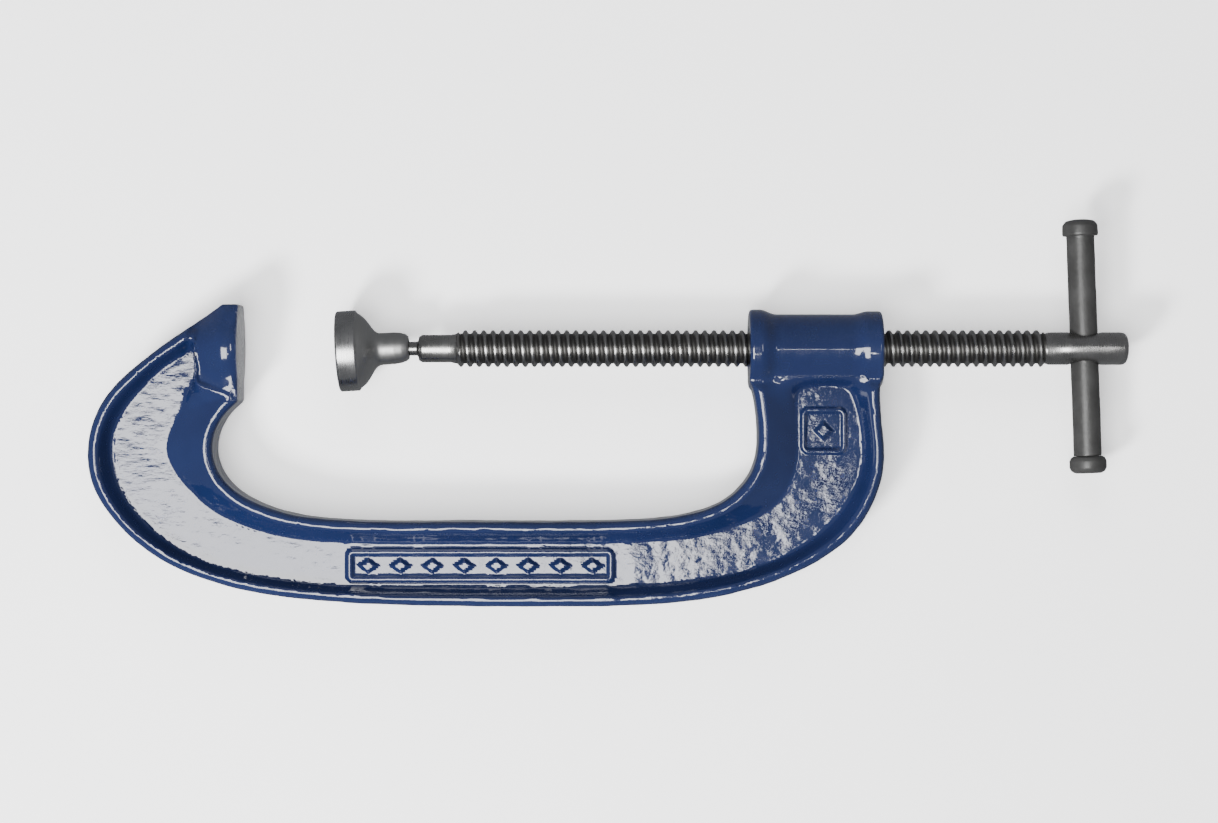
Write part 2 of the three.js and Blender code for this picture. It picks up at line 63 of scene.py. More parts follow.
OUTER = [
    (-8.3, 13.3), (-17.4, 6.9), (-27.3, 0.1), (-34.4, -5.4), (-40.2, -10.5), (-44.5, -15.3), (-47.7, -20.1), (-50.0, -25.3),
    (-51.4, -30.7), (-51.9, -36.3), (-51.4, -41.8), (-50.0, -47.1), (-47.6, -52.1), (-44.1, -57.2), (-39.5, -62.5), (-34.3, -67.2),
    (-28.8, -71.2), (-22.5, -74.8), (-15.6, -77.8), (-7.9, -80.5), (0.3, -82.7), (9.2, -84.4), (18.7, -85.7), (29.2, -86.7),
    (40.8, -87.5), (53.1, -88.0), (66.1, -88.3), (80.2, -88.5), (95.3, -88.6), (111.9, -88.6), (125.3, -88.5), (136.5, -88.1),
    (146.8, -87.5), (156.3, -86.4), (165.2, -85.0), (173.7, -83.0), (181.7, -80.6), (189.2, -77.6), (196.2, -74.2), (202.3, -70.5),
    (207.5, -66.5), (211.6, -62.1), (215.0, -57.3), (217.8, -51.7), (219.9, -45.8), (220.9, -40.1), (221.0, -34.1), (220.1, -24.7),
    (219.5, -16.5), (219.7, -10.2), (219.6, 0.0),
]
INNER = [
    (-0.5, -18.4), (-4.0, -21.8), (-6.7, -25.8), (-8.4, -30.1), (-9.0, -34.4), (-8.4, -38.5), (-6.7, -42.6), (-3.9, -46.3),
    (-0.0, -49.6), (4.9, -52.4), (10.8, -54.8), (17.6, -56.7), (25.0, -57.9), (33.6, -58.7), (44.4, -59.2), (56.5, -59.4),
    (70.7, -59.3), (85.9, -59.3), (102.1, -59.4), (116.0, -59.3), (128.6, -59.1), (139.1, -58.7), (147.4, -57.9), (154.6, -56.6),
    (160.7, -54.8), (165.8, -52.4), (169.9, -49.4), (173.3, -45.7), (175.7, -41.7), (177.1, -37.1), (177.7, -31.4), (177.5, -24.5),
    (176.7, -17.3), (175.1, -10.2), (175.4, 0.0),
]
FLOOR = [
    (-16.4, -1.6), (-19.7, -3.1), (-22.7, -4.5), (-27.0, -7.7), (-30.4, -10.8), (-33.5, -14.1), (-37.3, -18.4), (-39.8, -22.2),
    (-41.9, -26.0), (-43.2, -30.1), (-43.6, -34.2), (-43.4, -38.3), (-42.7, -42.5), (-41.4, -46.6), (-39.5, -50.4), (-36.9, -54.5),
    (-33.8, -58.3), (-29.7, -62.4), (-23.9, -66.9), (-17.3, -70.8), (-9.4, -74.1), (-0.8, -76.5), (8.4, -78.3), (17.0, -79.6),
    (25.6, -80.6), (34.2, -81.2), (48.0, -81.5), (68.6, -81.7), (89.2, -81.7), (109.9, -81.7), (127.0, -81.4), (140.8, -80.8),
    (151.5, -79.8), (160.0, -78.7), (169.3, -77.0), (178.6, -74.1), (186.9, -70.7), (193.4, -66.9), (199.9, -61.7), (205.8, -55.2),
    (210.2, -48.0), (212.8, -40.7), (213.3, -34.9), (213.0, -28.7), (211.8, -22.9), (210.4, -18.4), (209.0, -15.3), (206.5, -13.4),
    (202.7, -12.9), (197.5, -13.2), (193.0, -14.6), (192.0, -17.7), (192.2, -24.6), (192.4, -33.2), (191.7, -40.4), (190.0, -45.7),
    (187.2, -50.7), (183.1, -55.2), (176.9, -59.1), (168.6, -62.4), (159.0, -65.0), (148.4, -66.4), (137.4, -67.1), (123.6, -67.6),
    (103.0, -67.7), (82.4, -67.7), (61.7, -67.7), (46.3, -67.6), (34.2, -67.2), (25.6, -66.7), (17.0, -65.7), (8.4, -63.8),
    (-0.1, -61.0), (-7.0, -57.8), (-12.9, -53.8), (-17.3, -49.5), (-21.1, -45.2), (-24.0, -40.7), (-25.5, -36.6), (-25.7, -32.8),
    (-24.9, -29.4), (-23.4, -26.0), (-21.8, -22.5), (-20.5, -19.1), (-19.4, -15.0), (-16.4, -11.2),
]


# ---------------------------------------------------------------------------------------------
# Mesh helpers
# ---------------------------------------------------------------------------------------------
def put(name, verts, faces, body, nodes, material, smooth=True):
    mesh = bpy.data.meshes.new(name)
    v = np.asarray(verts, dtype=np.float64) * 0.001
    mesh.from_pydata(v.tolist(), [], [list(map(int, f)) for f in faces])
    mesh.validate()
    mesh.update()
    if smooth:
        mesh.polygons.foreach_set("use_smooth", [True] * len(mesh.polygons))
    obj = bpy.data.objects.new(name, mesh)
    bpy.context.scene.collection.objects.link(obj)
    mesh.materials.append(material)
    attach(obj, body)
    if nodes:
        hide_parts(*nodes)
    return obj


def ring_mesh(rings, close_start=True, close_end=True):
    """Verts and faces from rings of equal count; a ring of one point is a pole."""
    verts, faces, start = [], [], []
    for r in rings:
        start.append(len(verts))
        verts += [tuple(p) for p in r]
    for k in range(len(rings) - 1):
        a, b = rings[k], rings[k + 1]
        sa, sb = start[k], start[k + 1]
        n = max(len(a), len(b))
        for i in range(n):
            j = (i + 1) % n
            if len(a) == 1:
                faces.append((sa, sb + i, sb + j))
            elif len(b) == 1:
                faces.append((sa + i, sb, sa + j))
            else:
                faces.append((sa + i, sb + i, sb + j, sa + j))
    if close_start and len(rings[0]) > 1:
        faces.append(tuple(start[0] + i for i in range(len(rings[0]))))
    if close_end and len(rings[-1]) > 1:
        faces.append(tuple(start[-1] + i for i in reversed(range(len(rings[-1])))))
    return verts, faces


def rounded(profile, steps=5):
    """A lathe profile of (x, r, fillet) points with its corners rounded to arcs."""
    out = []
    pts = [np.array(p[:2], dtype=float) for p in profile]
    for i, p in enumerate(profile):
        f = p[2] if len(p) > 2 else 0.0
        if f <= 0 or i in (0, len(profile) - 1):
            out.append(pts[i])
            continue
        a, b, c = pts[i - 1], pts[i], pts[i + 1]
        u, v = a - b, c - b
        lu, lv = np.linalg.norm(u), np.linalg.norm(v)
        u, v = u / lu, v / lv
        half = math.acos(max(-1, min(1, float(u @ v)))) / 2
        if half > math.pi / 2 - 0.01:
            out.append(b)
            continue
        reach = min(f / math.tan(half), 0.49 * lu, 0.49 * lv)
        rad = reach * math.tan(half)
        centre = b + (u + v) / np.linalg.norm(u + v) * (rad / math.sin(half))
        s, e = b + u * reach - centre, b + v * reach - centre
        t0, t1 = math.atan2(s[1], s[0]), math.atan2(e[1], e[0])
        d = (t1 - t0 + math.pi) % (2 * math.pi) - math.pi
        n = max(2, int(math.ceil(abs(d) / (math.pi / 2) * steps)))
        for k in range(n + 1):
            t = t0 + d * k / n
            out.append(centre + rad * np.array([math.cos(t), math.sin(t)]))
    return out


def lathe_rings(profile, n, wobble=None):
    """Rings about +X from (x, r) points; a point on the axis becomes a pole."""
    rings = []
    for x, r in profile:
        if r < 1e-6:
            rings.append([(x, 0.0, 0.0)])
            continue
        ring = []
        for i in range(n):
            a = 2 * math.pi * i / n
            rr = r + (wobble(x, a, r) if wobble else 0.0)
            ring.append((x, rr * math.cos(a), rr * math.sin(a)))
        rings.append(ring)
    return rings


def placed(verts, matrix):
    m = np.array(matrix)
    v = np.asarray(verts, dtype=float)
    return v @ m[:3, :3].T + m[:3, 3]


# ---------------------------------------------------------------------------------------------
# The frame casting, as a distance field
# ---------------------------------------------------------------------------------------------
def catmull(points, per, closed=False):
    p = np.asarray(points, dtype=float)
    n = len(p)
    out = []
    for i in range(n if closed else n - 1):
        q = [p[(i + k) % n] if closed else p[min(max(i + k, 0), n - 1)] for k in (-1, 0, 1, 2)]
        for s in range(per):
            t = s / per
            out.append(0.5 * (2 * q[1] + (q[2] - q[0]) * t + (2 * q[0] - 5 * q[1] + 4 * q[2] - q[3]) * t * t
                              + (3 * q[1] - q[0] - 3 * q[2] + q[3]) * t ** 3))
    if not closed:
        out.append(p[-1])
    return np.array(out)


def polygon_distance(px, py, poly):
    """Signed distance to a closed polygon, positive inside."""
    d = np.full(px.shape, 1e9)
    inside = np.zeros(px.shape, dtype=bool)
    n = len(poly)
    for i in range(n):
        ax, ay = poly[i]
        bx, by = poly[(i + 1) % n]
        ex, ey = bx - ax, by - ay
        l2 = ex * ex + ey * ey
        if l2 < 1e-12:
            continue
        t = np.clip(((px - ax) * ex + (py - ay) * ey) / l2, 0, 1)
        d = np.minimum(d, (px - ax - t * ex) ** 2 + (py - ay - t * ey) ** 2)
        if ay != by:
            hit = ((ay > py) != (by > py)) & (px < (bx - ax) * (py - ay) / (by - ay) + ax)
            inside ^= hit
    d = np.sqrt(d)
    return np.where(inside, d, -d)


def smin(a, b, k):
    h = np.clip(0.5 + 0.5 * (b - a) / k, 0, 1)
    return b * (1 - h) + a * h - k * h * (1 - h)


def smax(a, b, k):
    return -smin(-a, -b, k)


def waves(x, y, z, length, seed, count=7):
    """A smooth random field of about -1 to 1 with the given wavelength."""
    r = np.random.RandomState(seed)
    out = 0
    for _ in range(count):
        v = r.normal(size=3)
        v /= np.linalg.norm(v)
        k = 2 * math.pi / (length * r.uniform(0.7, 1.5))
        out = out + np.sin((x * v[0] + y * v[1] + z * v[2]) * k + r.uniform(0, 6.28))
    return out / math.sqrt(count)


def box2(x, y, rect, r):
    """Signed distance, negative inside, to a rounded rectangle."""
    cx, cy = (rect[0] + rect[2]) / 2, (rect[1] + rect[3]) / 2
    hx, hy = abs(rect[2] - rect[0]) / 2 - r, abs(rect[3] - rect[1]) / 2 - r
    qx, qy = np.abs(x - cx) - hx, np.abs(y - cy) - hy
    return np.hypot(np.maximum(qx, 0), np.maximum(qy, 0)) + np.minimum(np.maximum(qx, qy), 0) - r


class Casting:
    def __init__(self, step):
        outer = catmull(OUTER, 8)
        inner = catmull(INNER, 8)
        outline = np.vstack([outer, inner[::-1], [[0.0, -17.6], [0.0, 15.1], [-6.0, 15.1]]])
        floor = catmull(FLOOR, 6, closed=True)
        self.x0, self.y0, self.step = -56.0, -93.0, step
        nx, ny = int(281 / step) + 1, int(112 / step) + 1
        gx = self.x0 + np.arange(nx) * step
        gy = self.y0 + np.arange(ny) * step
        px, py = np.meshgrid(gx, gy, indexing="ij")
        self.gx, self.gy = gx, gy
        self.edge = polygon_distance(px, py, outline)
        self.floor = -polygon_distance(px, py, floor)
        beyond = np.vstack([outer, inner[::-1], [[12.0, -17.6], [12.0, 15.1], [-6.0, 15.1]]])
        self.block_edge = polygon_distance(px, py, beyond)

    def look(self, field, x, y):
        """The field at x, y by cubic B-spline, so that its slope is smooth too."""
        fx = np.clip((x - self.x0) / self.step, 1, field.shape[0] - 3.001)
        fy = np.clip((y - self.y0) / self.step, 1, field.shape[1] - 3.001)
        i, j = fx.astype(int), fy.astype(int)
        u, v = fx - i, fy - j
        wu = ((1 - u) ** 3 / 6, (3 * u ** 3 - 6 * u * u + 4) / 6, (-3 * u ** 3 + 3 * u * u + 3 * u + 1) / 6, u ** 3 / 6)
        wv = ((1 - v) ** 3 / 6, (3 * v ** 3 - 6 * v * v + 4) / 6, (-3 * v ** 3 + 3 * v * v + 3 * v + 1) / 6, v ** 3 / 6)
        out = 0.0
        for a in range(4):
            for b in range(4):
                out = out + field[i + a - 1, j + b - 1] * wu[a] * wv[b]
        return out

    @staticmethod
    def top(x, y, edge, floor, block_edge):
        """Height of the pocket's surface above the middle plane, without the relief."""
        wall = -14.7 - x
        ramp = -0.352 * (x + 14.7) - 0.936 * (y + 11.5)
        block = np.where(x > 40, 1e3, smax(wall, ramp, 2.0))
        head = np.maximum(-9.7 - y, 110 - x)
        near = smin(smin(edge - ROUND, block, 1.4), head, 5.0)   # in from the crest of the flange
        far = np.maximum(floor, 0)                               # out from the web's border
        width = np.maximum(near + far, 1e-3)
        t = np.clip(near / width, 0, 1)
        slope = np.arctan2(HALF - WEB, np.maximum(width - 1.5, 1.0))
        a = np.clip(2.6 * np.sin(slope) / width, 0.02, 0.45)
        b = np.clip(3.0 * np.sin(slope) / width, 0.02, 0.5)
        m = 1 / (1 - (a + b) / 2)
        g = np.where(t < a, m * t * t / (2 * a), np.where(t < 1 - b, m * (t - a / 2), 1 - m * (1 - t) ** 2 / (2 * b)))
        g = np.where(near <= 0, 0, g)
        # the solid block behind the nose is domed, and leans away from the face
        solid = np.clip((1.0 - near) / 2.0, 0, 1) * np.clip((19 + y) / 5, 0, 1) * np.where(x < 40, 1, 0)
        lean = np.clip((x + 19) / 6, 0, 1)
        lean = lean * lean * (3 - 2 * lean)
        e = np.clip(1 - np.maximum(block_edge, 0) / 7.0, 0, 1)
        dome = (3.6 * e * e + 0.18 * np.clip(-3 - x, 0, 14)) * lean
        # the plate thins where it meets the boss
        dip = np.clip((y + 15) / 6, 0, 1)
        dip = 2.4 * dip * dip * (3 - 2 * dip) * np.where(x > 150, 1, 0)
        return HALF - (HALF - WEB) * g - (dome * solid + dip) * (1 - g), np.cos(slope * np.where((t > 0) & (t < 1), 1, 0))

    @staticmethod
    def relief(x, y):
        """Raised cast marks on the front of the web: borders, a row of lozenges and a boss."""
        ridge = lambda d, w: np.clip(1 - (d / w) ** 2, 0, 1)
        peak = lambda d, w: np.clip(-d / w, 0, 1) ** 2 * (3 - 2 * np.clip(-d / w, 0, 1))
        a = box2(x, y, PANEL, 2.6)
        rise = 1.1 * ridge(a + 1.35, 1.45)
        b = box2(x, y, BADGE, 3.0)
        rise = np.maximum(rise, 1.0 * ridge(b + 1.1, 1.25))
        # lozenges inside the long panel
        cx = (PANEL[0] + PANEL[2]) / 2
        cy = (PANEL[1] + PANEL[3]) / 2
        pitch = 11.0
        u = (x - cx + pitch * 3.5) / pitch
        k = np.clip(np.round(u), 0, 7)
        du = (x - cx + pitch * 3.5) - k * pitch
        loz = (np.abs(du) / 4.3 + np.abs(y - cy) / 3.0 - 1) * 2.45
        rise = np.maximum(rise, 1.15 * peak(loz, 1.35))
        # one lozenge in the square border
        qx, qy = (BADGE[0] + BADGE[2]) / 2, (BADGE[1] + BADGE[3]) / 2
        dia = (np.abs(x - qx) + np.abs(y - qy) - 3.9) * 0.707
        rise = np.maximum(rise, 1.1 * peak(dia, 1.5))
        return rise

    def __call__(self, x, y, z, edge=None, floor=None):
        if edge is None:
            edge, floor = self.look(self.edge, x, y), self.look(self.floor, x, y)
            noise = waves(x, y, z, 14, 3) * 0.05 + waves(x, y, z, 5, 5) * 0.025
        else:
            noise = 0.0
        edge = edge - 0.13 * np.clip((-y - 20) / 6, 0, 1)      # the cast texture stays inside the outline
        az = np.abs(z)
        top, c = self.top(x, y, edge, floor, self.look(self.block_edge, x, y))
        q1, q2 = -edge + ROUND, az - HALF + ROUND
        body = np.hypot(np.maximum(q1, 0), np.maximum(q2, 0)) + np.minimum(np.maximum(q1, q2), 0) - ROUND
        up = top + np.where(z > 0, self.relief(x, y) * np.clip((1.2 - floor) / 1.4, 0, 1), 0)
        body = np.maximum(body, (az - up) * c)
        rho = np.hypot(y, z)
        # the anvil's nose, round in both directions
        u = x + 4.7
        r = np.where(u > 0, ANVIL_R - 0.055 * u * u, np.where(u > -2.8, ANVIL_R - 0.09 * u * u, ANVIL_R - 0.706 + 0.504 * (u + 2.8)))
        nose = smax((rho - r) * 0.92, x, 0.5)
        nose = np.maximum(nose, -14.0 - x)
        body = np.where(x < 20, smin(body, nose, 2.2), body)
        # boss and its collars
        ra = RIM_A_R + (BOSS_R - RIM_A_R) * np.clip((x - 178.6) / 5.6, 0, 1) ** 2 * (3 - 2 * np.clip((x - 178.6) / 5.6, 0, 1))
        rb = BOSS_R + (RIM_B_R - BOSS_R) * np.clip((x - 210.8) / 5.2, 0, 1) ** 2 * (3 - 2 * np.clip((x - 210.8) / 5.2, 0, 1))
        radius = np.where(x < 198, ra, rb)
        between = np.clip((x - 181) / 4, 0, 1) * np.clip((214 - x) / 4, 0, 1)
        ay = np.abs(y)
        radius = radius - between * 0.6 * np.tanh(ay / 4.0) * np.clip(1.7 - ay / 8.0, 0, 1)
        q1, q2 = rho - radius + 1.2, np.abs(x - (BOSS_X0 + BOSS_X1) / 2) - (BOSS_X1 - BOSS_X0) / 2 + 1.2
        boss = np.hypot(np.maximum(q1, 0), np.maximum(q2, 0)) + np.minimum(np.maximum(q1, q2), 0) - 1.2
        body = np.where(x > 150, smin(body, boss, 2.4), body)
        # the working face is flat
        body = np.where((x < 30) & (x > -12) & (y > -19), smax(body, x, 0.7), body)
        body = np.where((x > 150) & (y > -13), np.maximum(body, BOSS_X0 - x), body)
        # threaded hole with a countersunk mouth at each end
        hole = BORE_R - rho
        mouth = np.maximum(np.abs(x - (BOSS_X0 + BOSS_X1) / 2) - (BOSS_X1 - BOSS_X0) / 2 + 1.0, 0)
        hole = BORE_R + mouth - rho
        body = np.where(x > 150, smax(body, hole, 0.5), body)
        calm = np.clip((np.abs(x) - 4) / 6, 0, 1)
        calm = np.maximum(calm, np.clip((-20 - y) / 4, 0, 1))    # the working face and the boss stay true
        calm = calm * np.clip((rho - 15) / 4 + np.where(x < 150, 9, 0), 0, 1)
        return body + noise * calm


def cast_frame(material):
    step = 0.66
    cast = Casting(0.5)
    x0, y0, z0 = -55.0, -92.0, -15.0
    nx, ny, nz = int(280 / step), int(110 / step), int(30 / step)
    gx = x0 + np.arange(nx) * step
    gy = y0 + np.arange(ny) * step
    gz = z0 + np.arange(nz) * step
    field = np.empty((nx, ny, nz), dtype=np.float32)
    for a in range(0, nx, 32):
        field[a:a + 32] = cast(gx[a:a + 32, None, None], gy[None, :, None], gz[None, None, :])
    import openvdb
    grid = openvdb.FloatGrid()
    grid.copyFromArray(field)
    points, quads = grid.convertToQuads(isovalue=0)
    v = np.array(points, dtype=float) * step + np.array([x0, y0, z0])
    h = 0.12
    def gradient(q):
        g = np.stack([cast(q[:, 0] + h * (i == 0), q[:, 1] + h * (i == 1), q[:, 2] + h * (i == 2))
                      - cast(q[:, 0] - h * (i == 0), q[:, 1] - h * (i == 1), q[:, 2] - h * (i == 2)) for i in range(3)], 1)
        return g / (2 * h)
    for _ in range(4):
        d = cast(v[:, 0], v[:, 1], v[:, 2])
        g = gradient(v)
        move = d[:, None] * g / np.maximum((g * g).sum(1), 0.25)[:, None]
        length = np.linalg.norm(move, axis=1, keepdims=True)
        v = v - move * np.minimum(1, 0.3 * step / np.maximum(length, 1e-9))
    g = gradient(v)
    normal = g / np.maximum(np.linalg.norm(g, axis=1, keepdims=True), 1e-9)
    quads = np.array(quads)
    face_n = np.cross(v[quads[:, 1]] - v[quads[:, 0]], v[quads[:, 2]] - v[quads[:, 0]])
    if (face_n * normal[quads[:, 0]]).sum() < 0:
        quads = quads[:, ::-1]
    obj = put("frame_casting", v, quads, "frame", ["frame"], material)
    mesh = obj.data
    if len(mesh.vertices) == len(v):
        mesh.normals_split_custom_set_from_vertices([tuple(n) for n in normal])
    # how much of the rough cast texture each point has: full on the web, none on the machined face
    fl = cast.look(cast.floor, v[:, 0], v[:, 1])
    web = np.clip(0.5 - fl / 3.0, 0, 1) * (np.abs(v[:, 2]) < 6.5)
    # where the anvil's working face is; the enamel paints it light grey: bare machined metal, made lighter as a painted
    # reflection of the floor seen at a grazing angle
    face = np.clip(1 - np.abs(v[:, 0]) / 0.5, 0, 1) * (v[:, 1] > -19)
    for label, values in (("web", web), ("face", face)):
        layer = mesh.attributes.new(label, "FLOAT", "POINT")
        layer.data.foreach_set("value", values.astype(np.float32)[:len(mesh.vertices)])
    return obj


# ---------------------------------------------------------------------------------------------
# Turned pieces
# ---------------------------------------------------------------------------------------------
def merged(verts, faces, tolerance=1e-4):
    """Joins coincident vertices and drops the faces that close up."""
    v = np.asarray(verts, dtype=float)
    key = np.round(v / tolerance).astype(np.int64)
    _, first, back = np.unique(key, axis=0, return_index=True, return_inverse=True)
    back = back.reshape(-1)
    out = []
    for f in faces:
        g = []
        for i in f:
            k = int(back[i])
            if not g or g[-1] != k:
                g.append(k)
        if len(g) > 1 and g[0] == g[-1]:
            g.pop()
        if len(set(g)) == len(g) and len(g) > 2:
            out.append(tuple(g))
    return v[first], out


def thread_radius(phase):
    """Radius over one pitch, phase 0 to 1: a flat crest, a straight flank, a rounded root."""
    u = np.abs((phase + 0.5) % 1.0 - 0.5) * 2          # 0 at the crest's middle, 1 at the root's
    t = np.clip((u - 0.22) / 0.52, 0, 1)
    return CREST_R - (CREST_R - ROOT_R) * (0.82 * t + 0.18 * t * t * (3 - 2 * t))


def make_screw(material):
    n, per = 48, 12
    verts, faces = [], []
    # ball, neck and shank
    front = []
    for k in range(13):
        a = math.pi * k / 12 * 0.795
        front.append((BALL_X - BALL_R * math.cos(a), BALL_R * math.sin(a) if k else 0.0))
    front += [(x, r) for x, r in rounded([(53.73, 2.42), (55.2, NECK_R, 0.6), (60.9, NECK_R, 0.8), (61.2, 4.1, 0.3),
                                          (62.3, 4.76, 0.5), (72.2, 4.76, 0.6), (72.9, 4.95), (THREAD_X0, ROOT_R)], 4)]
    v, f = ring_mesh(lathe_rings(front, n), close_end=False)
    verts += v; faces += f
    # the thread, on a grid that is itself wound along the helix
    dx = PITCH / per
    rows = int((THREAD_X1 - THREAD_X0) / dx) + 2 * per + 2
    start = len(verts)
    for k in range(rows):
        for i in range(n):
            a = 2 * math.pi * i / n
            x = THREAD_X0 - PITCH + k * dx + (i / n) * PITCH
            xc = min(max(x, THREAD_X0), THREAD_X1)
            r = float(thread_radius((xc - THREAD_X0) / PITCH - i / n))
            r = min(r, ROOT_R + (xc - THREAD_X0) * 0.8, ROOT_R + (THREAD_X1 - xc) * 0.9)
            verts.append((xc, r * math.cos(a), r * math.sin(a)))
    for k in range(rows - 1):
        for i in range(n):
            if i < n - 1:
                faces.append((start + k * n + i, start + (k + 1) * n + i, start + (k + 1) * n + i + 1, start + k * n + i + 1))
            elif k + per + 1 < rows:
                faces.append((start + k * n + i, start + (k + 1) * n + i, start + (k + per + 1) * n, start + (k + per) * n))
    # the head, round at the thread and an upright oval at the eye
    stations = [(THREAD_X1, ROOT_R, ROOT_R), (277.5, 5.35, 5.4), (278.2, 5.6, 5.75), (279.6, 5.62, 6.4), (281.2, 5.62, 7.1),
                (283.0, 5.62, 7.75), (285.2, 5.62, 8.12), (288.0, 5.62, 8.2), (293.0, 5.62, 8.2), (299.0, 5.62, 8.2),
                (303.2, 5.62, 8.2), (304.0, 5.48, 8.05), (304.55, 5.1, 7.65), (304.82, 4.6, 7.1), (304.9, 3.9, 6.3), (304.9, 2.0, 3.4)]
    rings = []
    for x, ry, rz in stations:
        rings.append([(x, ry * math.cos(2 * math.pi * i / n), rz * math.sin(2 * math.pi * i / n)) for i in range(n)])
    rings.append([(304.9, 0.0, 0.0)])
    v, f = ring_mesh(rings, close_start=False)
    base = len(verts)
    verts += v; faces += [tuple(base + i for i in q) for q in f]
    verts, faces = merged(verts, faces)
    obj = put("clamping_screw", verts, faces, "screw", ["screw"], material)
    bm = bmesh.new(); bm.from_mesh(obj.data)
    bmesh.ops.recalc_face_normals(bm, faces=bm.faces)
    bm.to_mesh(obj.data); bm.free()
    # the eye's hole, flared at both mouths
    prof = []
    for y, r in [(-9.0, 8.2), (-5.9, 6.15), (-5.3, 5.66), (-4.7, 5.45), (-3.6, 5.4), (3.6, 5.4), (4.7, 5.45), (5.3, 5.66), (5.9, 6.15), (9.0, 8.2)]:
        prof.append((y, r))
    rings = [[(EYE_X + r * math.cos(2 * math.pi * i / 64), y, -r * math.sin(2 * math.pi * i / 64)) for i in range(64)] for y, r in prof]
    v, f = ring_mesh(rings)
    cm = bpy.data.meshes.new("eye_cutter"); cm.from_pydata((np.array(v) * .001).tolist(), [], f); cm.update()
    cutter = bpy.data.objects.new("eye_cutter", cm); bpy.context.scene.collection.objects.link(cutter)
    bm = bmesh.new(); bm.from_mesh(cm); bmesh.ops.recalc_face_normals(bm, faces=bm.faces); bm.to_mesh(cm); bm.free()
    mod = obj.modifiers.new("eye", "BOOLEAN"); mod.operation = "DIFFERENCE"; mod.object = cutter; mod.solver = "EXACT"
    dg = bpy.context.evaluated_depsgraph_get()
    done = bpy.data.meshes.new_from_object(obj.evaluated_get(dg))
    obj.modifiers.clear(); old = obj.data; obj.data = done; done.name = "clamping_screw"
    bpy.data.meshes.remove(old); bpy.data.objects.remove(cutter); bpy.data.meshes.remove(cm)
    if not done.materials:
        done.materials.append(material)
    # depth in the thread; the colour is made darker towards the root
    co = np.empty(len(done.vertices) * 3, np.float32); done.vertices.foreach_get("co", co); co = co.reshape(-1, 3) * 1000
    rho = np.hypot(co[:, 1], co[:, 2])
    inside = (co[:, 0] > THREAD_X0) & (co[:, 0] < THREAD_X1)
    layer = done.attributes.new("root", "FLOAT", "POINT")
    layer.data.foreach_set("value", np.where(inside, np.clip((CREST_R - rho) / (CREST_R - ROOT_R), 0, 1), 0).astype(np.float32))
    done.polygons.foreach_set("use_smooth", [True] * len(done.polygons))
    done.set_sharp_from_angle(angle=math.radians(34))
    return obj


def sharpen(obj, degrees=40):
    obj.data.set_sharp_from_angle(angle=math.radians(degrees))
    return obj


def fix_normals(obj):
    bm = bmesh.new(); bm.from_mesh(obj.data)
    bmesh.ops.recalc_face_normals(bm, faces=bm.faces)
    bm.to_mesh(obj.data); bm.free()
    return obj


def make_pad(material):
    f = -17.25
    outside = rounded([(f, 0), (f, 13.9, 0.8), (f + 6.75, 13.9, 0.7), (f + 7.2, 13.15, 0.3), (f + 8.05, 12.5, 2), (f + 9.25, 11.5, 4),
                       (f + 10.35, 10.2, 4), (f + 11.35, 8.7, 4), (f + 12.25, 7.3, 3), (f + 13.05, 6.3, 3), (f + 14.1, 5.6, 2), (f + 15.4, 5.5, 2), (2.2, 5.5, 2), (4.8, 5.15, 2),
                       (6.4, 4.6, 1.2), (7.2, 3.95, 0.4), (7.2, 3.6)], 6)
    inside = [(7.2, 3.6), (5.9, 3.6), (5.6, 3.75), (5.6, 4.35)]
    for k in range(1, 11):
        a = math.pi / 2 + math.pi / 2 * k / 10
        inside.append((4.35 * math.cos(a), 4.35 * math.sin(a) if k < 10 else 0.0))
    prof = outside + inside[1:4] + [(0.0, 4.35)] + inside[4:]
    rings = lathe_rings(prof, 96, lambda x, a, r: 0.03 * math.sin(3 * a + x) + 0.02 * math.sin(7 * a) if -9.5 < x < -2 and r > 5 else 0.0)
    v, faces = ring_mesh(rings, close_start=False, close_end=False)
    v, faces = merged(v, faces)
    m = Matrix.Translation((BALL_X, 0, 0)) @ Matrix.Rotation(PAD_TILT, 4, "Z")
    obj = fix_normals(put("pad_swivel", placed(v, m), faces, "pad", ["swivel_pad"], material))
    co = np.array([p.co for p in obj.data.vertices]) * 1000
    local = placed(co, m.inverted())
    rim = np.clip((-10.0 - local[:, 0]) / 0.5, 0, 1)
    layer = obj.data.attributes.new("rim", "FLOAT", "POINT")
    layer.data.foreach_set("value", rim.astype(np.float32))
    return sharpen(obj, 45)


def make_ring(material):
    rings = []
    for k in range(61):
        a = math.radians(-90 + 6) + math.radians(348) * k / 60
        c = np.array([0.0, math.cos(a), math.sin(a)])
        rings.append([tuple(np.array([4.25, 0, 0]) + c * (3.25 + 0.46 * math.cos(t)) + np.array([0.38 * math.sin(t), 0, 0]))
                      for t in np.linspace(0, 2 * math.pi, 14, endpoint=False)])
    v, faces = ring_mesh(rings)
    m = Matrix.Translation((BALL_X, 0, 0))       # square to the screw, which carries it
    return fix_normals(put("pad_snap_ring", placed(v, m), faces, "screw_carrier", ["pad_retaining_ring"], material))


def bar_matrix():
    return (Matrix.Translation((EYE_X, 0, 0)) @ Matrix.Rotation(BAR_TILT, 4, "Z")
            @ Matrix(((0, 1, 0, 0), (1, 0, 0, 0), (0, 0, -1, 0), (0, 0, 0, 1))))


